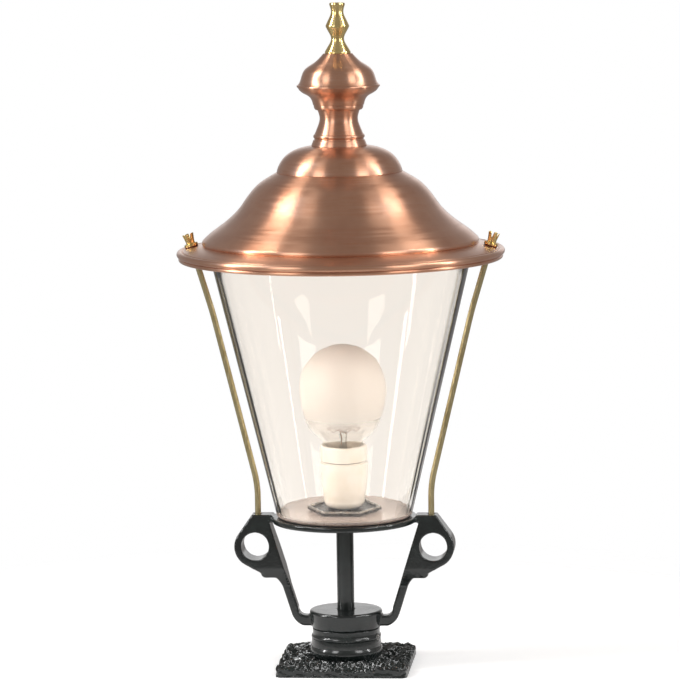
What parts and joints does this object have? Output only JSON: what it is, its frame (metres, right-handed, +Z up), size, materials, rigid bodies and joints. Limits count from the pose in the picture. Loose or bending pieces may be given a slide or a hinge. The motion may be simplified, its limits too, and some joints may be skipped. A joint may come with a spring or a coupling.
{
  "type": "post top lantern",
  "caption": "Post top lantern: a conical clear glass shade with a screw-in bulb, under a spun copper hood that crown nuts draw down on a cast cradle over a post socket.",
  "frame": {"origin": "middle of the foot plate's underside, on the post's axis", "axes": "+Z up along the post, +X through the right arm and crown nut, -Y to the front"},
  "size_m": [0.3274, 0.3274, 0.667],
  "materials": {
    "foot_paint": "dark green-black gloss paint over a rough cast top",
    "cast_paint": "dark green-black gloss paint, slightly uneven over the casting",
    "stem_paint": "dark green-black paint on steel pipe",
    "copper": "spun copper, satin polish with a warm tarnish",
    "rod_brass": "drawn brass, dull and darkened",
    "brass": "turned brass, worn bright on its edges",
    "shade_glass": "clear glass",
    "bulb_glass": "frosted glass, clear at the neck",
    "mount_glass": "clear glass",
    "porcelain": "cream glazed porcelain",
    "insulator": "black glass",
    "cap_metal": "plain sheet metal",
    "filament": "fine drawn wire",
    "plate_steel": "pressed zinc-plated steel",
    "steel": "zinc-plated steel",
    "rubber": "black rubber",
    "fibre": "red vulcanised fibre"
  },
  "bodies": {
    "base": {"foot_plate": "foot_paint", "post_socket": "cast_paint", "socket_screws": "steel", "cradle_hub": "cast_paint", "cradle_ring": "cast_paint", "cradle_arm_right": "cast_paint", "cradle_arm_left": "cast_paint", "stem_tube": "stem_paint", "hub_locknut": "steel", "clamp_locknut": "steel", "clamp_disc": "steel", "clamp_pad": "rubber", "shade_gasket": "rubber", "glass_shade": "shade_glass", "shade_seal": "rubber", "hex_pad": "rubber", "hex_plate": "plate_steel", "holder_locknut": "steel", "lampholder_body": "porcelain", "lampholder_ring": "porcelain", "contact_block": "porcelain", "centre_contact": "brass", "screw_shell": "brass", "tie_rod_right": "rod_brass", "tie_rod_left": "rod_brass"},
    "hood": {"brim_ring": "copper", "roof_bell": "copper", "upper_dome": "copper", "neck": "copper", "cap_dish": "copper", "cap_dome": "copper", "finial": "brass", "hood_stud": "steel", "hood_washer": "steel", "hood_nut": "steel"},
    "bulb_foot": {"bulb_contact": "insulator"},
    "bulb": {"bulb_globe": "bulb_glass", "bulb_cap": "cap_metal", "bulb_stem": "mount_glass", "bulb_filament": "filament"},
    "fibre_right": {"fibre_washer_right": "fibre"},
    "washer_right": {"nut_washer_right": "brass"},
    "nut_right": {"crown_nut_right": "brass"},
    "fibre_left": {"fibre_washer_left": "fibre"},
    "washer_left": {"nut_washer_left": "brass"},
    "nut_left": {"crown_nut_left": "brass"}
  },
  "joints": [
    {"name": "hood_lift", "type": "slide", "parent": "base", "child": "hood", "axis": [0, 0, 1], "range_m": [0, 0.12]},
    {"name": "bulb_rise", "type": "slide", "parent": "base", "child": "bulb_foot", "axis": [0, 0, 1], "range_m": [0, 0.0182]},
    {"name": "bulb_turn", "type": "hinge", "parent": "bulb_foot", "child": "bulb", "pos_m": [0, 0, 0.19], "axis": [0, 0, 1], "range_deg": [0, 1800]},
    {"name": "fibre_right_lift", "type": "slide", "parent": "base", "child": "fibre_right", "axis": [0.2873, 0, 0.9578], "range_m": [0, 0.1255]},
    {"name": "nut_right_rise", "type": "slide", "parent": "fibre_right", "child": "washer_right", "axis": [0.2873, 0, 0.9578], "range_m": [0, 0.00905]},
    {"name": "crown_nut_right_turn", "type": "hinge", "parent": "washer_right", "child": "nut_right", "pos_m": [0.14955, 0, 0.42481], "axis": [0.2873, 0, 0.9578], "range_deg": [0, 3240]},
    {"name": "fibre_left_lift", "type": "slide", "parent": "base", "child": "fibre_left", "axis": [-0.2873, 0, 0.9578], "range_m": [0, 0.1255]},
    {"name": "nut_left_rise", "type": "slide", "parent": "fibre_left", "child": "washer_left", "axis": [-0.2873, 0, 0.9578], "range_m": [0, 0.00905]},
    {"name": "crown_nut_left_turn", "type": "hinge", "parent": "washer_left", "child": "nut_left", "pos_m": [-0.14955, 0, 0.42481], "axis": [-0.2873, 0, 0.9578], "range_deg": [0, 3240]}
  ],
  "couplings": [
    {"joint": "bulb_rise", "follows": "bulb_turn", "m_per_rad": 0.00057757},
    {"joint": "fibre_right_lift", "follows": "hood_lift", "ratio": 1.044},
    {"joint": "nut_right_rise", "follows": "crown_nut_right_turn", "m_per_rad": 0.00015915},
    {"joint": "fibre_left_lift", "follows": "hood_lift", "ratio": 1.044},
    {"joint": "nut_left_rise", "follows": "crown_nut_left_turn", "m_per_rad": 0.00015915}
  ]
}
